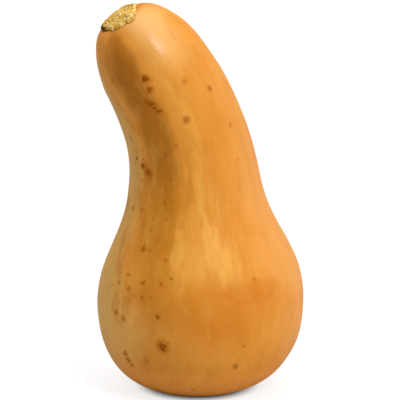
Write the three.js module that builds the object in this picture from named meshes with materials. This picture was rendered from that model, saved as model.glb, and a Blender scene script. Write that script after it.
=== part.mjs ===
// A butternut squash: a fruit with a round bulb and a bent neck, standing on its blossom end,
// and the corky scar left on the tip of the neck where its stalk broke off.
// Millimetres, +Z up. The origin is the middle of the flat foot, and the neck leans towards -X and -Y.
import * as THREE from "three";

// The centre line rises from the foot, swings out a little through the bulb and bends over in the neck.
// It keeps to each point's lean for about the reach below and above it.
const CENTRE_LINE = [
  { at: [0, 0, 0], lean: [0, 0, 1], above: 53 },
  { at: [-1.6, 0, 117.4], lean: [-0.07, 0, 1], below: 93, above: 40 },
  { at: [-41.7, -12, 208.6], lean: [-0.67, -0.3, 1], below: 31 },
];

// The fruit's half outline. Heights are measured along the centre line, from the foot, and the taper
// is how fast the radius shrinks as the outline climbs through a ring.
const FOOT_RADIUS = 20;
const FOOT_FLARE = 22;
const RINGS = [
  { height: 49, radius: 58.3, taper: 0, below: 30, above: 29 }, // the widest part of the bulb
  { height: 114, radius: 37.5, taper: 0.15, below: 25, above: 30 }, // the waist
  { height: 188, radius: 30.2, taper: 0.09, below: 24, above: 13 }, // the top of the neck
];
const SHOULDER = 8.6; // the flesh turns in this far to meet the scar

// The corky scar
const SCAR_RADIUS = 11.8; // of the seat in the flesh
const SCAR_EDGE = 1.2; // how far its edge stands out of the tip
const SCAR_CROWN = 2.8; // and its middle
const SEAT_DEPTH = 1.2; // how deep it sits in the flesh
const GAP = 0.3; // between the cork and the flesh round it

// How far the fruit is from round: shallow swellings, each as a share of the radius
const SWELLINGS = [
  { lobes: 2, share: 0.006 },
  { lobes: 3, share: 0.005 },
  { lobes: 5, share: -0.004 },
];

const SKIN = { color: 0xe39a4c, roughness: 0.5, metalness: 0 };
const CORK = { color: 0xcfa75c, roughness: 0.9, metalness: 0 };

const SIDES = 60;
const STEPS = 10; // points in each curve of an outline

function centreLine() {
  const line = new THREE.CurvePath();
  const knots = CENTRE_LINE.map(({ at, lean, below, above }) => {
    const point = new THREE.Vector3(...at);
    const reach = (length) => new THREE.Vector3(...lean).setLength(length).add(point);
    return { point, arriving: below && reach(-below), leaving: above && reach(above) };
  });
  for (let i = 1; i < knots.length; i++) {
    const [start, end] = [knots[i - 1], knots[i]];
    line.add(new THREE.CubicBezierCurve3(start.point, start.leaving, end.arriving, end.point));
  }
  return line;
}

const spine = centreLine();
const LENGTH = spine.getLength();

// x is the radius and y the height along the centre line
function fruitOutline() {
  const outline = new THREE.Path().moveTo(0, 0).lineTo(FOOT_RADIUS, 0);
  let leaving = [FOOT_RADIUS + FOOT_FLARE, 0];
  for (const { height, radius, taper, below, above } of RINGS) {
    const arriving = [radius + taper * below, height - below];
    outline.bezierCurveTo(...leaving, ...arriving, radius, height);
    leaving = [radius - taper * above, height + above];
  }
  const seat = LENGTH - SEAT_DEPTH;
  return outline
    .bezierCurveTo(...leaving, SCAR_RADIUS + SHOULDER, LENGTH, SCAR_RADIUS, LENGTH)
    .lineTo(SCAR_RADIUS - GAP, seat)
    .lineTo(0, seat);
}

// A low button with a flat back, which sits in the fruit's shallow seat
function corkOutline() {
  const back = LENGTH - SEAT_DEPTH + GAP;
  const edge = SCAR_RADIUS - 3 * GAP; // the seat narrows by one gap, and its swellings take up another
  const crown = LENGTH + SCAR_CROWN;
  return new THREE.Path()
    .moveTo(0, back)
    .lineTo(edge, back)
    .lineTo(edge, LENGTH + SCAR_EDGE)
    .bezierCurveTo(edge, crown, edge / 2, crown, 0, crown);
}

function swelling(around) {
  return SWELLINGS.reduce((size, { lobes, share }) => size + share * Math.sin(lobes * around), 1);
}

// Turns an outline round an upright axis, then bends that axis to the centre line
function bentLathe(outline, sizeAt) {
  const geometry = new THREE.LatheGeometry(outline.getPoints(STEPS), SIDES);
  const position = geometry.getAttribute("position");
  const across = new THREE.Vector3();
  const forward = new THREE.Vector3();
  for (let i = 0; i < position.count; i++) {
    const x = position.getX(i);
    const y = -position.getZ(i);
    const height = position.getY(i);
    const share = Math.min(height / LENGTH, 1);
    const point = spine.getPoint(share);
    const lean = spine.getTangent(share);
    const size = sizeAt(Math.atan2(y, x));
    across.set(0, 1, 0).cross(lean).normalize();
    forward.crossVectors(lean, across);
    point.addScaledVector(lean, height - share * LENGTH);
    point.addScaledVector(across, size * x).addScaledVector(forward, size * y);
    position.setXYZ(i, point.x, point.y, point.z);
  }
  geometry.computeVertexNormals();
  return geometry;
}

function piece(name, geometry, finish) {
  const mesh = new THREE.Mesh(geometry, new THREE.MeshStandardMaterial(finish));
  mesh.name = name;
  return mesh;
}

const squash = new THREE.Group();
squash.add(piece("squash_fruit", bentLathe(fruitOutline(), swelling), SKIN));
squash.add(piece("stem_scar", bentLathe(corkOutline(), () => 1), CORK));

export default squash;
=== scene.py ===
"""A butternut squash standing on its blossom end: the rind over bulb and neck, and the corky stem scar.

Lengths of the fruit are in millimetres until a mesh is made or a pattern placed, and those of the studio
are in metres. A place on the fruit is named by its height along the centre line and its turn round it:
0 degrees faces +X, and -90 faces the front.
"""
import functools
import math

import bmesh
import bpy
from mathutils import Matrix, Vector, noise
from mathutils.geometry import interpolate_bezier


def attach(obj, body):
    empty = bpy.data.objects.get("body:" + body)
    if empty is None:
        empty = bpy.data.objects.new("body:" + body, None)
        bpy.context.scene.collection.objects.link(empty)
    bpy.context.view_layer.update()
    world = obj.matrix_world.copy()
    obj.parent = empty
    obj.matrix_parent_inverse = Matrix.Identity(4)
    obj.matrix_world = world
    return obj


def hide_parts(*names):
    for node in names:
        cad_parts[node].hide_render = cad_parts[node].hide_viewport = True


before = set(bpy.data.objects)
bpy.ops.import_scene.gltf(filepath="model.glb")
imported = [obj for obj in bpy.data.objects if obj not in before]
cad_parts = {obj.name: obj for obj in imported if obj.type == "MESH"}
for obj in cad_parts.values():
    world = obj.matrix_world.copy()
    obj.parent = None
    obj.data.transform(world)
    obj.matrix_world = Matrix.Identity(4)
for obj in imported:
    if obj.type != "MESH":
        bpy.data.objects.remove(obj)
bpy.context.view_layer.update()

MM = 0.001


# ---- The studio -------------------------------------------------------------------------------------

VIEW_TARGET = Vector((1.4, 0, 106.7)) * MM
VIEW_DISTANCE = 0.9
VIEW_ELEVATION = 10
LENS = 144.3
CLIP_END = 100

KEY_AZIMUTH = 26
KEY_ELEVATION = 42
KEY_DISTANCE = 1.1
KEY_SIZE = 0.2
KEY_POWER = 3.6


def direction(azimuth, elevation):
    """Points from the object towards a compass angle, counted to the right of the front, and up."""
    level = math.cos(math.radians(elevation))
    a = math.radians(azimuth)
    return Vector((math.sin(a) * level, -math.cos(a) * level, math.sin(math.radians(elevation))))


def add(name, data):
    """Puts a new object into the scene."""
    piece = bpy.data.objects.new(name, data)
    bpy.context.scene.collection.objects.link(piece)
    return piece


def make_camera():
    data = bpy.data.cameras.new("camera")
    data.lens = LENS
    data.clip_end = CLIP_END
    camera = add("camera", data)
    camera.location = VIEW_TARGET + VIEW_DISTANCE * direction(0, VIEW_ELEVATION)
    camera.rotation_euler = (math.radians(90 - VIEW_ELEVATION), 0, 0)
    bpy.context.scene.camera = camera
    bpy.context.scene.view_settings.view_transform = "Standard"


def make_key_lamp():
    """A small square lamp, high on the right, that puts the highlight on the shoulder of the neck."""
    data = bpy.data.lights.new("key", "AREA")
    data.size = KEY_SIZE
    data.energy = KEY_POWER
    lamp = add("key", data)
    towards = direction(KEY_AZIMUTH, KEY_ELEVATION)
    lamp.location = VIEW_TARGET + KEY_DISTANCE * towards
    lamp.rotation_euler = towards.to_track_quat("Z", "Y").to_euler()
    lamp.visible_camera = False


make_camera()
make_key_lamp()


# ---- Shader writing ---------------------------------------------------------------------------------

class Value:
    """A number that varies over a surface. Sums and products of values add Math nodes."""

    def __init__(self, shader, socket):
        self.shader = shader
        self.socket = socket

    def math(self, operation, first, *rest):
        return self.shader.node("Math", {"operation": operation}, dict(enumerate((first, *rest))))

    def __add__(self, other):
        return self.math("ADD", self, other)

    def __radd__(self, other):
        return self.math("ADD", other, self)

    def __sub__(self, other):
        return self.math("SUBTRACT", self, other)

    def __rsub__(self, other):
        return self.math("SUBTRACT", other, self)

    def __mul__(self, other):
        return self.math("MULTIPLY", self, other)

    def __rmul__(self, other):
        return self.math("MULTIPLY", other, self)

    def most(self, other):
        return self.math("MAXIMUM", self, other)

    def other(self, output):
        """Another output of the same node."""
        return Value(self.shader, self.socket.node.outputs[output])

    def rise(self, start, end):
        """0 below start and 1 above end, with a smooth step between; start may be above end."""
        sockets = {"Value": self, "From Min": start, "From Max": end}
        return self.shader.node("MapRange", {"interpolation_type": "SMOOTHSTEP"}, sockets)


class Shader:
    """The nodes of a material or a world, written as expressions."""

    def __init__(self, owner):
        owner.use_nodes = True
        self.owner = owner
        self.tree = owner.node_tree

    def feed(self, node, sockets):
        for key, value in sockets.items():
            if isinstance(value, Value):
                self.tree.links.new(value.socket, node.inputs[key])
            else:
                node.inputs[key].default_value = value

    def surface(self, sockets):
        """Sets or links the sockets of the material's own shader."""
        self.feed(self.tree.nodes["Principled BSDF"], sockets)

    def node(self, kind, settings, sockets, output=0):
        """Adds any node: its settings are set first, then the values or links of its sockets."""
        node = self.tree.nodes.new("ShaderNode" + kind)
        for name, value in settings.items():
            setattr(node, name, value)
        self.feed(node, sockets)
        return Value(self, node.outputs[output])

    def place(self):
        """Where a point of the surface is, in metres."""
        return self.node("TexCoord", {}, {}, "Object")

    def attribute(self, name, output="Vector"):
        return self.node("Attribute", {"attribute_name": name}, {}, output)

    def vector(self, operation, *inputs, output=0):
        """One step of vector arithmetic."""
        return self.node("VectorMath", {"operation": operation}, dict(enumerate(inputs)), output)

    def scaled(self, vector, *scale):
        return self.vector("MULTIPLY", vector, scale)

    def distance(self, vector, point):
        return self.vector("DISTANCE", vector, point, output="Value")

    def facing(self, vector, towards):
        """1 where a vector of length 1 points straight towards, and 0 where it is at right angles."""
        return self.vector("DOT_PRODUCT", vector, towards, output="Value")

    def warped(self, vector, scale, detail, reach, centred=True):
        """A vector pushed about by coloured noise, by up to the reach. A centred push goes both ways."""
        if centred:
            vector = self.vector("ADD", vector, (-reach / 2,) * 3)
        sockets = {"Vector": self.place(), "Scale": scale, "Detail": detail}
        push = self.node("TexNoise", {}, sockets, "Color")
        return self.vector("MULTIPLY_ADD", push, (reach,) * 3, vector)

    def noise(self, vector, scale, detail=2, roughness=0.5):
        """Noise with so many grains to the metre."""
        sockets = {"Vector": vector, "Scale": scale, "Detail": detail, "Roughness": roughness}
        return self.node("TexNoise", {}, sockets)

    def stretched(self, vector, across, along, detail=3, roughness=0.55):
        """Noise with one number of grains to the metre across the fruit and another along it."""
        return self.noise(self.scaled(vector, across, across, along), 1, detail, roughness)

    def mix(self, share, below, above):
        """One colour turning into another."""
        return self.node("Mix", {"data_type": "RGBA"}, {0: share, 6: below, 7: above}, 2)

    def zone(self, growth, height, turn, tall, wide, core=0.2):
        """1 in the core of an oval patch of the rind and 0 outside it; tall and wide are half sizes."""
        scale = (1 / (wide * MM), 1 / (wide * MM), 1 / (tall * MM))
        middle = grown(math.radians(turn), height) * MM
        centre = tuple(a * b for a, b in zip(middle, scale))
        return self.distance(self.scaled(growth, *scale), centre).rise(1, core)

    def cells(self, vector, scale):
        """Scattered dots: how far a point is from the nearest, and a random number for each dot."""
        far = self.node("TexVoronoi", {}, {"Vector": vector, "Scale": scale}, "Distance")
        return far, self.node("SeparateColor", {}, {0: far.other("Color")})


# ---- The floor and the light around ------------------------------------------------------------------

SHEET_REACH = 20
FLOOR_DROP = 0.05 * MM
FLOOR_GLOW = 0.8
FLOOR_GREY = (0.25, 0.25, 0.25, 1)
CARD_DROP = 0.1 * MM
CARD_GREY = (0.65, 0.65, 0.65, 1)
WHITE = (1, 1, 1, 1)

# The painted contact shadow where the fruit touches the floor: it is full to one radius and gone at the
# other
CONTACT_RADIUS = 25 * MM
CONTACT_END = 37 * MM
PAINTED_CONTACT_SHADOW = (0.06, 0.05, 0.04, 1)

# Soft lights of the room: azimuth and elevation of the middle, how squarely a direction has to face it
# for the light to start and to be full, and brightness
ROOM_LIGHTS = (
    (190, 0, 0, 0.45, 0.4),  # a pale backdrop
    (-100, 20, 0.6, 0.85, 0.28),  # a pale wall on the left
    (72, 16, 0.68, 0.9, 1.4),  # a window on the right
    (0, 90, 0.6, 0.85, 1.4),  # a bright ceiling
)


def make_sheet(name, drop, sockets):
    """A wide level sheet just under the fruit."""
    mesh = bpy.data.meshes.new(name)
    form = bmesh.new()
    bmesh.ops.create_grid(form, x_segments=1, y_segments=1, size=SHEET_REACH)
    bmesh.ops.translate(form, verts=form.verts, vec=(0, 0, -drop))
    form.to_mesh(mesh)
    form.free()
    paper = Shader(bpy.data.materials.new(name))
    paper.surface({"Roughness": 1, "Specular IOR Level": 0, **sockets})
    mesh.materials.append(paper.owner)
    sheet = add(name, mesh)
    return sheet


def make_floor():
    """White paper that takes a faint shadow, with a painted contact shadow round the foot, and under it
    a duller card that throws light back up.
    """
    floor = make_sheet("floor", FLOOR_DROP, {"Base Color": FLOOR_GREY, "Emission Strength": FLOOR_GLOW})
    floor.visible_diffuse = False
    floor.visible_glossy = False
    floor.visible_shadow = False
    paper = Shader(floor.active_material)
    # The paper's glow turns dark round the foot: a painted contact shadow.
    clear_of_contact_shadow = paper.distance(paper.place(), (0, 0, 0)).rise(CONTACT_RADIUS, CONTACT_END)
    paper.surface({"Emission Color": paper.mix(clear_of_contact_shadow, PAINTED_CONTACT_SHADOW, WHITE)})
    card = make_sheet("card", CARD_DROP, {"Base Color": CARD_GREY})
    card.visible_camera = False


def make_sky():
    """A room of soft lights, which the camera sees as plain white."""
    sky = Shader(bpy.data.worlds.new("sky"))
    outward = sky.node("TexCoord", {}, {}, "Generated")
    room = 0
    for azimuth, elevation, start, full, brightness in ROOM_LIGHTS:
        room += sky.facing(outward, direction(azimuth, elevation)).rise(start, full) * brightness
    seen = sky.node("LightPath", {}, {}, "Is Camera Ray")
    sky.feed(sky.tree.nodes["Background"], {"Strength": seen + (1 - seen) * room, "Color": WHITE})
    bpy.context.scene.world = sky.owner


make_floor()
make_sky()


# ---- The shape --------------------------------------------------------------------------------------

# The centre line: place, lean, and how far the curve keeps to that lean below and above the place
CENTRE_LINE = (
    ((0, 0, 0), (0, 0, 1), 0, 53),
    ((-1.6, 0, 117.4), (-0.07, 0, 1), 93, 40),
    ((-41.7, -12, 208.6), (-0.67, -0.3, 1), 31, 0),
)
# The rings of the outline: height, radius, taper, and the curve's reach below and above
BULB = (49, 58.3, 0, 30, 29)
WAIST = (114, 37.5, 0.15, 25, 30)
NECK = (188, 30.2, 0.09, 24, 13)
FOOT_RADIUS = 20
FOOT_INNER = 17
FOOT_FLARE = 22
FOOT_RISE = 0.3
DISH_DEPTH = 2.4
SHOULDER = 8.6
SCAR_RADIUS = 11.8
SEAT_DEPTH = 1.2
SEAT_RADIUS = 9.6

# How far the fruit is from round: the number of swellings and their share of the radius
SWELLINGS = ((2, 0.006), (3, 0.005), (5, -0.004))

CURVE_STEPS = 120


def curve(knots):
    """The points of a chain of curves. Each knot is the handle below, the point and the handle above."""
    points = [knots[0][1]]
    for (_, start, leaving), (arriving, end, _) in zip(knots, knots[1:]):
        points += interpolate_bezier(start, leaving, arriving, end, CURVE_STEPS)[1:]
    return points


def walked(points):
    """How far along a chain of points each one is."""
    lengths = [0]
    for a, b in zip(points, points[1:]):
        lengths.append(lengths[-1] + (b - a).length)
    return lengths


class CentreLine:
    """Bends an upright shape so that its axis follows the fruit's centre line."""

    def __init__(self):
        knots = []
        for place, lean, below, above in CENTRE_LINE:
            point = Vector(place)
            lean = Vector(lean).normalized()
            knots.append((point - below * lean, point, point + above * lean))
        self.points = curve(knots)
        self.heights = walked(self.points)
        self.length = self.heights[-1]

    def at(self, height):
        """The point at a height, and the lean of the line there."""
        last = len(self.points) - 2
        low, high = 0, last
        while low < high:
            middle = (low + high + 1) // 2
            if self.heights[middle] <= height:
                low = middle
            else:
                high = middle - 1
        a, b = self.points[low], self.points[low + 1]
        step = self.heights[low + 1] - self.heights[low]
        before = self.points[max(low - 1, 0)]
        after = self.points[min(low + 2, last + 1)]
        share = (height - self.heights[low]) / step
        lean_a = (b - before).normalized()
        lean_b = (after - a).normalized()
        lean = lean_a.lerp(lean_b, min(share, 1)).normalized()
        return a.lerp(b, share), lean

    def bent(self, place):
        """Where a point of the upright shape goes: x and y are across the line and z along it."""
        point, lean = self.at(place.z)
        across = Vector((0, 1, 0)).cross(lean).normalized()
        forward = lean.cross(across)
        return point + place.x * across + place.y * forward


spine = CentreLine()
TIP = spine.length


def ring_knot(height, radius, taper, below, above):
    """A knot of the outline, with x as the radius and z as the height."""
    def reached(reach):
        return Vector((radius - taper * reach, 0, height + reach))
    return reached(-below), reached(0), reached(above)


def evened(points, spacing):
    """The same chain of points with even steps."""
    lengths = walked(points)
    count = max(1, round(lengths[-1] / spacing))
    even = []
    i = 0
    for k in range(count + 1):
        goal = lengths[-1] * k / count
        while i < len(points) - 2 and lengths[i + 1] < goal:
            i += 1
        even.append(points[i].lerp(points[i + 1], (goal - lengths[i]) / (lengths[i + 1] - lengths[i])))
    return even


def corner(radius, height):
    """A knot where the outline turns sharply."""
    return (Vector((radius, 0, height)),) * 3


def fruit_outline(spacing):
    """From the middle of the dished blossom end, up the side and over into the seat of the scar.

    The knots of the foot and the rim are written out, and the reach of their handles sets how round
    each turn is.
    """
    dish = (Vector((0, 0, DISH_DEPTH)), Vector((0, 0, DISH_DEPTH)), Vector((7, 0, DISH_DEPTH)))
    rest = (Vector((FOOT_INNER - 5, 0, 0)), Vector((FOOT_INNER - 1.5, 0, 0)), Vector((FOOT_INNER, 0, 0)))
    foot = (Vector((FOOT_RADIUS - 6, 0, 0)), Vector((FOOT_RADIUS, 0, 0.4 * FOOT_RISE)),
            Vector((FOOT_RADIUS + FOOT_FLARE, 0, FOOT_RISE)))
    rim = (Vector((SCAR_RADIUS + SHOULDER, 0, TIP)), Vector((SCAR_RADIUS, 0, TIP)),
           Vector((SEAT_RADIUS, 0, TIP)))
    seat = (Vector((SEAT_RADIUS, 0, TIP)), Vector((SEAT_RADIUS, 0, TIP - SEAT_DEPTH)),
            Vector((SEAT_RADIUS - 1, 0, TIP - SEAT_DEPTH)))
    knots = [dish, rest, foot, ring_knot(*BULB), ring_knot(*WAIST), ring_knot(*NECK), rim, seat,
             corner(0, TIP - SEAT_DEPTH)]
    return evened(curve(knots), spacing)


def turned(outline, sides):
    """Spins a half outline about the upright axis, and closes it at the poles."""
    form = bmesh.new()
    verts = [form.verts.new(point) for point in outline]
    edges = [form.edges.new(pair) for pair in zip(verts, verts[1:])]
    bmesh.ops.spin(form, geom=verts + edges, cent=(0, 0, 0), axis=(0, 0, 1), angle=2 * math.pi,
                   steps=sides, use_merge=True)
    bmesh.ops.remove_doubles(form, verts=form.verts, dist=0.01)
    bmesh.ops.recalc_face_normals(form, faces=form.faces)
    return form


def smooth_step(value, start, end):
    """0 before start and 1 past end, with a smooth step between; start may be above end."""
    share = min(max((value - start) / (end - start), 0), 1)
    return share * share * (3 - 2 * share)


def swelling(turn):
    """The fruit's size at a turn in radians, as a share of its outline's."""
    return 1 + sum(share * math.sin(lobes * turn) for lobes, share in SWELLINGS)


FRUIT_SIDES = 300
FRUIT_SPACING = 1.0
FRUIT_OUTLINE = fruit_outline(FRUIT_SPACING)
GROWTH_RADIUS = 50


def grown(turn, height):
    """Where a point of the rind would be on a straight fruit of even width; the patterns follow it."""
    return Vector((GROWTH_RADIUS * math.cos(turn), GROWTH_RADIUS * math.sin(turn), height))


def on_fruit(height, degrees):
    """The place on the rind at a height and a turn."""
    radius = next(point.x for point in FRUIT_OUTLINE if point.x >= FOOT_RADIUS and point.z >= height)
    turn = math.radians(degrees)
    size = swelling(turn) * radius
    return spine.bent(Vector((size * math.cos(turn), size * math.sin(turn), height)))


def finished(form, name, material):
    """Turns a form in millimetres into a smooth piece."""
    bmesh.ops.scale(form, verts=form.verts, vec=(MM, MM, MM))
    mesh = bpy.data.meshes.new(name)
    form.to_mesh(mesh)
    form.free()
    mesh.shade_smooth()
    mesh.materials.append(material)
    return add(name, mesh)


# Where the relief of the rind fades out: heights at the foot, and at the rim of the scar
FOOT_FADE = (4, 30)
RIB_FADE = (TIP - 12, TIP - 3)
DENT_FADE = (TIP - 8, TIP)

# Ribs that wander a little, and ripples along the fruit; the depths are shares of the radius
RIB_COUNT = 10
RIB_DEPTH = 0.003
RIB_WANDER = 1.5
RIB_WANDER_SIZE = 60
RIPPLE_DEPTH = 0.006
RIPPLE_WIDTH = 12
RIPPLE_LENGTH = 90

# Dents and dimples over the whole side, and the scabs that are raised; all in millimetres
DENT_DEPTH = 0.5
DENT_SIZE = 38
DIMPLE_DEPTH = 0.16
DIMPLE_SIZE = 13
SCAB_LIFT = 0.3
RAISED_RADIUS = 1.5

# Scabs on the rind: height, turn in degrees, radius and how dark. The larger ones are raised.
SCABS = (
    (191, -99, 2.2, 1.0), (188, -114, 1.4, 0.4), (184, -102, 1.9, 0.9), (178, -110, 1.9, 0.8),
    (176, -107, 1.8, 1.0), (173, -105, 1.8, 1.0), (170, -103, 1.7, 1.0), (165, -110, 1.2, 0.5),
    (159, -82, 2.0, 0.55), (178, -67, 1.5, 0.35), (167, -45, 1.6, 0.6), (146, -40, 0.9, 0.7),
    (130, -44, 0.7, 0.5), (147, -99, 0.9, 0.4), (142, -110, 1.1, 0.5), (158, -150, 1.0, 0.5),
    (148, -135, 1.0, 0.5), (142, -147, 1.1, 0.7), (137, -139, 1.8, 0.9), (132, -134, 2.1, 0.9),
    (129, -131, 1.2, 0.7), (126, -142, 0.9, 0.6), (126, -109, 1.0, 0.4), (116, -131, 0.8, 0.5),
    (113, -116, 0.9, 0.5), (108, -153, 1.1, 0.6), (108, -140, 1.1, 0.6), (104, -126, 1.0, 0.5),
    (93, -119, 1.0, 0.6), (88, -129, 1.9, 0.8), (83, -111, 1.2, 0.6), (74, -136, 1.1, 0.6),
    (69, -143, 1.2, 0.6), (67, -134, 1.3, 0.6), (71, -124, 1.4, 0.6), (71, -112, 1.4, 0.5),
    (74, -106, 1.2, 0.6), (70, -57, 1.2, 0.6), (63, -124, 1.2, 0.6), (51, -142, 1.6, 0.6),
    (48, -136, 1.8, 0.5), (53, -113, 1.1, 0.8), (35, -110, 3.0, 1.0), (38, -66, 1.0, 0.6),
    (26, -137, 1.4, 0.8), (23, -136, 1.4, 0.8), (20, -134, 1.3, 0.8), (25, -121, 1.6, 0.4),
    (25, -68, 1.5, 0.6), (9, -93, 1.0, 0.5), (86, -181, 1.2, 0.9), (76, -176, 1.1, 0.9),
    (178, 20, 1.2, 0.6), (158, 62, 1.5, 0.5), (171, 128, 1.1, 0.7), (150, 171, 1.6, 0.6),
    (128, 96, 1.1, 0.6), (104, 34, 1.4, 0.6), (96, 84, 1.0, 0.8), (88, 118, 1.7, 0.5),
    (72, 8, 1.2, 0.7), (66, 61, 2.1, 0.7), (61, 66, 1.1, 0.8), (54, 142, 1.3, 0.6),
    (40, 104, 1.8, 0.5), (34, 30, 1.1, 0.7), (28, 158, 1.4, 0.6), (22, 78, 1.0, 0.7),
)


def on_side(height, fade):
    """1 on the side of the fruit, and 0 on its foot and past the fade at its rim."""
    return smooth_step(height, *FOOT_FADE) * (1 - smooth_step(height, *fade))


def ribbing(turn, straight):
    """Ribs and ripples at a turn and a place on the straight fruit, as a share of the radius."""
    wander = RIB_WANDER * noise.noise(straight / RIB_WANDER_SIZE)
    ribs = RIB_DEPTH * math.cos(RIB_COUNT * turn + wander)
    cell = Vector((straight.x / RIPPLE_WIDTH, straight.y / RIPPLE_WIDTH, straight.z / RIPPLE_LENGTH))
    return on_side(straight.z, RIB_FADE) * (ribs + RIPPLE_DEPTH * noise.noise(cell))


def make_fruit(material):
    """The rind. Its growth attribute is where each point is on the straight fruit, in metres."""
    form = turned(FRUIT_OUTLINE, FRUIT_SIDES)
    growth = form.verts.layers.float_vector.new("growth")
    for vert in form.verts:
        turn = math.atan2(vert.co.y, vert.co.x)
        straight = grown(turn, vert.co.z)
        vert[growth] = straight * MM
        size = swelling(turn) + ribbing(turn, straight)
        vert.co = spine.bent(Vector((vert.co.x * size, vert.co.y * size, vert.co.z)))
    form.normal_update()
    raised = []
    for height, turn, radius, _ in SCABS:
        if radius > RAISED_RADIUS:
            raised.append((on_fruit(height, turn), radius))
    for vert in form.verts:
        bumps = DENT_DEPTH * noise.noise(vert.co / DENT_SIZE)
        bumps += DIMPLE_DEPTH * noise.noise(vert.co / DIMPLE_SIZE)
        for place, radius in raised:
            bumps += SCAB_LIFT * smooth_step((vert.co - place).length, 1.2 * radius, 0.3 * radius)
        vert.co += on_side(vert[growth].z / MM, DENT_FADE) * bumps * vert.normal
    return finished(form, "squash_rind", material)


# ---- The cork ---------------------------------------------------------------------------------------

SCAR_EDGE = 1.3
SCAR_CROWN = 3.3
# Where the scar's edge reaches out over the flesh or draws in: turn, half width and reach
SCAR_CORNERS = ((-80, 62, 2.6), (-66, 16, 1.5), (-83, 8, -1), (-150, 30, -1.6), (-12, 42, -1.7))
PLUG_RADIUS = SEAT_RADIUS - 0.4
PLUG_BACK = TIP - SEAT_DEPTH + 0.3
EDGE_UNDERSIDE = TIP - 0.4
CORK_SIDES = 250
CORK_SPACING = 0.28
# The edge moves in and out from one radius on, and the left end curls up from another
EDGE_START = 8
CURL_START = 7

# The relief of the top: sizes, depths, and where in the noise each is read
LUMP_SIZE = 4.2
LUMP_DEPTH = 0.5
LUMP_START = Vector((3, 7, 1))
RIDGE_SIZE = 2.6
RIDGE_DEPTH = 0.35
RIDGE_START = Vector((1, 4, 2))
PIT_SIZE = 0.9
PIT_DEPTH = 0.7
PIT_START = Vector((2, 2, 6))

# Notches of the edge: how many round it, roughly, how deep, and where in the noise they are read
NOTCHES = ((5, 0.5, Vector((0, 0, 5))), (14, 0.4, Vector((0, 0, 8))))

# The left end of the scar curls up and its back is lifted; turns are in degrees either way from +X
CURL_LIFT = 0.7
CURL_TURNS = (140, 178)
BACKWARD_LIFT = 0.05

# What lowers the cork's relief value: painted shade under the edge, between two heights, and a painted
# shadow in the gap under the curled-up left end
SHADE_UNDER_EDGE_HEIGHTS = (TIP + 0.7, TIP)
SHADE_UNDER_EDGE_NOISE = (-0.3, 0.1)
SHADE_UNDER_EDGE_FALL = 1.5
GAP_SHADOW_TURNS = (150, 168)
GAP_SHADOW_RADII = (9.4, 10.8)
GAP_SHADOW_FALL = 2


def flesh_height(radius):
    """How high the flesh is at a distance from the centre line, round the scar."""
    inward = FRUIT_OUTLINE[::-1]
    for inner, outer in zip(inward, inward[1:]):
        if outer.x >= radius:
            return inner.lerp(outer, (radius - inner.x) / (outer.x - inner.x)).z
    return TIP


def cork_outline(spacing):
    """A button with a plug below, whose edge lies on the flesh."""
    edge = SCAR_RADIUS
    crown = TIP + SCAR_CROWN
    lip = (Vector((edge, 0, TIP - 0.5)), Vector((edge, 0, TIP + 0.6 * SCAR_EDGE)),
           Vector((edge, 0, TIP + 1.4 * SCAR_EDGE)))
    top = (Vector((0.7 * edge, 0, crown)), Vector((0, 0, crown)), Vector((0, 0, crown)))
    knots = [corner(0, PLUG_BACK), corner(PLUG_RADIUS, PLUG_BACK), corner(PLUG_RADIUS, EDGE_UNDERSIDE),
             corner(edge - 0.2, EDGE_UNDERSIDE), lip, top]
    return evened(curve(knots), spacing)


def edge_reach(turn):
    """How far the scar's edge is outside its round outline, at a turn in radians."""
    reach = 0
    for middle, width, corner_reach in SCAR_CORNERS:
        off = (math.degrees(turn) - middle + 180) % 360 - 180
        reach += corner_reach * smooth_step(abs(off), width, 0)
    around = Vector((math.cos(turn), math.sin(turn), 0))
    for count, depth, start in NOTCHES:
        reach += depth * noise.noise(count * around + start)
    return reach


def cork_relief(x, y):
    """Lumps, ridges and pits in the top of the cork, in millimetres."""
    flat = Vector((x, y, 0))
    lumps = noise.multi_fractal(flat / LUMP_SIZE + LUMP_START, 0.9, 2.1, 3) - 1
    ridges = noise.ridged_multi_fractal(flat / RIDGE_SIZE + RIDGE_START, 0.8, 2.2, 4, 1, 2) - 1
    pits = smooth_step(noise.noise(flat / PIT_SIZE + PIT_START), 0.3, 0.5)
    return LUMP_DEPTH * lumps + RIDGE_DEPTH * ridges - PIT_DEPTH * pits


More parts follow.
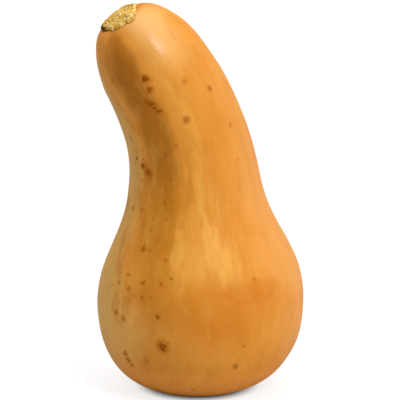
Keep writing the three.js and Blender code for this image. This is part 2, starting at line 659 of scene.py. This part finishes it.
def make_cork(material):
    """The scar. Its attribute for the colour is high on the relief, low in painted shade under the edge
    and lowest in the painted shadow of the gap at the left end.
    """
    form = turned(cork_outline(CORK_SPACING), CORK_SIDES)
    relief_and_shade = form.verts.layers.float.new("relief_and_shade")
    for vert in form.verts:
        turn = math.atan2(vert.co.y, vert.co.x)
        around = Vector((math.cos(turn), math.sin(turn), 0))
        radius = math.hypot(vert.co.x, vert.co.y)
        leftward = abs(math.degrees(turn))
        lift = cork_relief(vert.co.x, vert.co.y)
        # Painted shade: the side of the cork just under its edge, in broken stretches.
        under = smooth_step(noise.noise(5 * around), *SHADE_UNDER_EDGE_NOISE)
        under *= smooth_step(vert.co.z, *SHADE_UNDER_EDGE_HEIGHTS)
        # Painted shadow: the gap under the curled-up left end, near the edge.
        gap_shadow = smooth_step(leftward, *GAP_SHADOW_TURNS) * smooth_step(radius, *GAP_SHADOW_RADII)
        vert[relief_and_shade] = lift - SHADE_UNDER_EDGE_FALL * under - GAP_SHADOW_FALL * gap_shadow
        reach = edge_reach(turn) * smooth_step(radius, EDGE_START, SCAR_RADIUS)
        vert.co += reach * around
        top = smooth_step(vert.co.z, TIP, TIP + SCAR_EDGE)
        curl = smooth_step(radius, CURL_START, SCAR_RADIUS) * smooth_step(leftward, *CURL_TURNS)
        drop = TIP - flesh_height(max(radius + reach, SEAT_RADIUS + 0.1))
        vert.co.z += top * (lift + BACKWARD_LIFT * vert.co.y) + CURL_LIFT * curl - drop
        vert.co = spine.bent(vert.co)
    return finished(form, "stem_cork", material)


# ---- The finishes -----------------------------------------------------------------------------------

def linear(level):
    """A screen's level, from 0 to 255, as a share of full light."""
    share = level / 255
    return share / 12.92 if share <= 0.04045 else ((share + 0.055) / 1.055) ** 2.4


def colour(red, green, blue):
    """A colour by its levels on a screen, as the shader wants it."""
    return (linear(red), linear(green), linear(blue), 1)


# Tints of the rind, among them painted shade, painted highlight, painted reflection and painted light
# from below: height, turn, half height, half width, share, how crisp the edge is, and colour
TINTS_AND_PAINTED_LIGHT = (
    # Paler and pinker on the right edge: painted reflection of the room.
    (100, -14, 120, 40, 0.55, 0.2, (232, 162, 94)),
    # These six are browner on the front left of the neck and bulb: partly the rind's own colour and
    # partly painted shade of the side away from the light.
    (206, -122, 19, 24, 0.45, 0.7, (166, 94, 8)),
    (194, -118, 32, 22, 0.65, 0.3, (156, 90, 6)),
    (156, -114, 54, 20, 0.8, 0.4, (170, 102, 8)),
    (108, -120, 40, 20, 0.6, 0.3, (190, 119, 22)),
    (70, -114, 40, 12, 0.4, 0.3, (194, 116, 12)),
    (131, -134, 14, 8, 0.5, 0.3, (160, 100, 12)),
    (56, -72, 25, 42, 0.5, 0.3, (210, 117, 18)),
    (64, -60, 9, 24, 0.3, 0.5, (206, 108, 8)),
    # Paler low on the front of the bulb: painted light thrown up from the floor.
    (10, -90, 15, 80, 0.5, 0.3, (250, 164, 70)),
    # These three are paler and yellower on the left: partly the rind's own colour and partly painted
    # light and reflection on the left edge.
    (60, -164, 72, 28, 0.6, 0.3, (212, 174, 92)),
    (152, -162, 80, 28, 0.65, 0.3, (208, 170, 92)),
    (38, -138, 30, 22, 0.6, 0.3, (236, 180, 96)),
    # These two are paler on the shoulder of the neck: partly the rind's own colour and partly painted
    # highlight from the key lamp.
    (206, -60, 34, 44, 0.45, 0.1, (252, 192, 104)),
    (216, -40, 16, 46, 0.4, 0.2, (252, 198, 124)),
    (85, 70, 46, 40, 0.4, 0.3, (232, 164, 68)),
    (150, 100, 60, 24, 0.4, 0.3, (206, 132, 36)),
    (45, 120, 34, 34, 0.4, 0.4, (212, 126, 32)),
)

# Pale streaks that run along the fruit: height, turn, half height, half width and share
STREAKS = (
    (93, -101, 28, 6, 0.5), (92, -90, 29, 9, 0.36), (96, -79, 22, 4.8, 0.6), (112, -84, 20, 2.6, 0.5),
    (108, -67, 16, 2.4, 0.45), (88, -73, 22, 4, 0.5), (82, -68, 14, 3, 0.4), (62, -120, 14, 3, 0.4),
    (62, -110, 16, 3, 0.4), (126, -82, 30, 5.5, 0.5), (160, -78, 34, 7, 0.38), (46, -82, 12, 2.4, 0.4),
    (43, -103, 12, 2.4, 0.4), (58, -94, 14, 2.6, 0.35), (132, -92, 20, 4, 0.3), (70, -140, 20, 4, 0.35),
    (100, 10, 24, 5, 0.4), (76, 24, 18, 3.4, 0.4), (92, 52, 20, 5, 0.4), (64, 96, 18, 3.4, 0.4),
    (96, 128, 22, 5, 0.4), (84, 160, 18, 4, 0.4),
)

# Parts of the rind: height, turn, half height and half width
FRONT_OF_BULB = (70, -80, 62, 85)
LEFT_SIDE = (110, -140, 115, 42)
SHINY_SHOULDER = (208, -64, 30, 34)

SKIN_TAN = colour(221, 142, 48)
SKIN_WARM = colour(229, 151, 56)
SKIN_DEEP = colour(216, 131, 34)
STREAK_PALE = colour(240, 180, 84)
FIBRE_PALE = colour(244, 190, 100)
FRECKLE_PALE = colour(246, 190, 104)
LONG_STREAK = colour(244, 178, 80)
MOTTLE_PALE = colour(228, 176, 84)
MOTTLE_DARK = colour(186, 112, 18)
BLOSSOM_TAN = colour(212, 156, 84)
BLOSSOM_BROWN = colour(132, 86, 40)
SCAB_STAIN = colour(194, 112, 10)
SCAB_BROWN = colour(148, 76, 0)


def make_scabs(rind, ragged):
    """The cores of the scabs, and the soft stains round them."""
    cores = []
    stains = []
    for height, turn, radius, dark in SCABS:
        off = rind.distance(ragged, on_fruit(height, turn) * MM)
        cores.append(off.rise(radius * MM, 0.6 * radius * MM) * dark)
        stains.append(off.rise(1.9 * radius * MM, 0.7 * radius * MM) * dark)
    return functools.reduce(Value.most, cores), functools.reduce(Value.most, stains)


def make_rind():
    """Tan rind that turns to deeper orange and brown on the left, partly its own colour and partly
    painted shade, with paler patches that are painted highlight, painted reflection and painted light
    from below, and with its streaks, scabs and sheen.
    """
    rind = Shader(bpy.data.materials.new("waxy_rind"))
    place = rind.place()
    growth = rind.attribute("growth")
    front = rind.zone(growth, *FRONT_OF_BULB)
    left = rind.zone(growth, *LEFT_SIDE)

    # The ground colour, with soft patches and with fibres that run along the bulb
    drift = rind.warped(growth, 60, 4, 6 * MM, centred=False)
    broad = rind.stretched(drift, 60, 9)
    streak = rind.stretched(drift, 150, 40)
    fine = rind.stretched(drift, 420, 40, 2, 0.6)
    patch = rind.noise(place, 34, 4, 0.6)
    freckle = rind.noise(place, 420, 3, 0.6)
    skin = rind.mix(broad.rise(0.35, 0.65), SKIN_TAN, SKIN_WARM)
    skin = rind.mix(patch.rise(0.42, 0.68) * 0.4, skin, SKIN_DEEP)
    skin = rind.mix(streak.rise(0.5, 0.68) * (front * 0.22 + 0.02), skin, STREAK_PALE)
    skin = rind.mix(fine.rise(0.5, 0.7) * (front * 0.1 + 0.02), skin, FIBRE_PALE)
    skin = rind.mix(freckle.rise(0.5, 0.8) * 0.1, skin, FRECKLE_PALE)

    # Tints with wandering edges, some of them painted shade, painted light, painted highlight and
    # painted reflection, long pale streaks and mottling, which is strongest on the left
    wander = rind.warped(growth, 42, 5, 18 * MM)
    for height, turn, tall, wide, share, crisp, tint in TINTS_AND_PAINTED_LIGHT:
        skin = rind.mix(rind.zone(wander, height, turn, tall, wide, crisp) * share, skin, colour(*tint))
    worn = streak.rise(0.38, 0.6) * 0.5 + 0.5
    for height, turn, tall, wide, share in STREAKS:
        pale = rind.zone(drift, height, turn, tall, wide, 0.7)
        skin = rind.mix(pale * worn * share, skin, LONG_STREAK)
    mottle = rind.stretched(drift, 100, 50)
    skin = rind.mix(mottle.rise(0.5, 0.64) * (left * 0.16 + 0.12), skin, MOTTLE_PALE)
    skin = rind.mix(mottle.rise(0.48, 0.36) * (left * 0.3 + 0.14), skin, MOTTLE_DARK)

    # The small scar in the middle of the blossom end
    ragged = rind.warped(place, 330, 4, 4.4 * MM)
    blossom = rind.distance(ragged, (0, 0, DISH_DEPTH * MM))
    skin = rind.mix(blossom.rise(14 * MM, 4 * MM) * 0.4, skin, BLOSSOM_TAN)
    skin = rind.mix(blossom.rise(4.4 * MM, 3.2 * MM) * 0.8, skin, BLOSSOM_BROWN)

    # Scabs with ragged edges and with cracks round them, and specks
    core, stain = make_scabs(rind, ragged)
    edge = rind.node("TexVoronoi", {"feature": "DISTANCE_TO_EDGE"}, {"Vector": ragged, "Scale": 480})
    cracks = edge.rise(0.22, 0.08)
    broken = rind.noise(place, 1300, 2).rise(0.22, 0.42)
    dot, chance = rind.cells(ragged, 240)
    speck = dot.rise(0.26, 0.1) * chance.rise(0.62, 0.8) * (left * 0.6 + 0.1)
    scab = (core * broken).most(stain * cracks * 0.35).most(speck)
    skin = rind.mix(stain * 0.55, skin, SCAB_STAIN)
    skin = rind.mix(scab * 0.9, skin, SCAB_BROWN)

    # The bump reads no scabs, because it copies all that it reads and the shader has to stay small.
    relief = freckle * 0.05 + fine * 0.12
    bump = rind.node("Bump", {}, {"Strength": 1, "Distance": MM, "Height": relief})
    gloss = (rind.zone(growth, *SHINY_SHOULDER) * 0.8 + 0.14) * (1 - scab)
    rind.surface({"Base Color": skin, "Roughness": scab * 0.3 + 0.6, "Normal": bump,
                  "Specular IOR Level": 0.05, "Coat Weight": gloss, "Coat Roughness": 0.34})
    return rind.owner


CORK_STRAW = colour(206, 154, 62)
CORK_LIGHT = colour(232, 190, 88)
CORK_AMBER = colour(226, 160, 50)
CORK_SUNNY = colour(255, 198, 84)
CORK_CREAM = colour(254, 226, 150)
CORK_BROWN = colour(112, 62, 18)
# Nearly black: the painted shadow in the gap under the left end of the scar.
CORK_GAP_SHADOW = colour(40, 26, 14)
CORK_FLECK = colour(255, 244, 196)
CORK_SPECK = colour(116, 66, 16)
CORK_GRAIN = colour(180, 124, 56)
SUNNY_PLACE = Vector((-34, -14, 213.5)) * MM


def make_cork_finish():
    """Straw-coloured cork, cream on its crests, brown in its hollows and in painted shade under its
    edge, and nearly black in the painted shadow of the gap under its curled-up left end.
    """
    cork = Shader(bpy.data.materials.new("dry_cork"))
    place = cork.place()
    relief_and_shade = cork.attribute("relief_and_shade", "Fac")
    grain = cork.noise(place, 900, 4, 0.65)
    patch = cork.noise(place, 160, 3, 0.6)
    flecks, chance = cork.cells(place, 620)
    straw = cork.mix(patch.rise(0.35, 0.65), CORK_STRAW, CORK_LIGHT)
    straw = cork.mix(cork.noise(place, 260, 2).rise(0.5, 0.62) * 0.5, straw, CORK_AMBER)
    sunny = cork.distance(place, SUNNY_PLACE).rise(10 * MM, 3 * MM)
    straw = cork.mix(sunny * 0.6, straw, CORK_SUNNY)
    straw = cork.mix(relief_and_shade.rise(0.05, 0.5) * 0.9, straw, CORK_CREAM)
    # Brown in the pits, and as painted shade under the edge.
    straw = cork.mix(relief_and_shade.rise(-0.3, -0.75) * 0.9, straw, CORK_BROWN)
    # Nearly black: the painted shadow of the gap under the left end.
    straw = cork.mix(relief_and_shade.rise(-1.3, -2), straw, CORK_GAP_SHADOW)
    straw = cork.mix(flecks.rise(0.5, 0.25) * chance.rise(0.68, 0.8), straw, CORK_FLECK)
    straw = cork.mix(flecks.rise(0.45, 0.2) * chance.rise(0.3, 0.2) * 0.8, straw, CORK_SPECK)
    straw = cork.mix(grain.rise(0.58, 0.75) * 0.3, straw, CORK_GRAIN)
    bump = cork.node("Bump", {}, {"Strength": 1, "Distance": MM, "Height": grain * 0.5 + patch * 0.5})
    cork.surface({"Base Color": straw, "Roughness": 0.9, "Specular IOR Level": 0.25, "Normal": bump})
    return cork.owner


# ---- Putting it together ----------------------------------------------------------------------------

fruit = make_fruit(make_rind())
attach(fruit, "root")
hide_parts("squash_fruit")

cork = make_cork(make_cork_finish())
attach(cork, "root")
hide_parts("stem_scar")
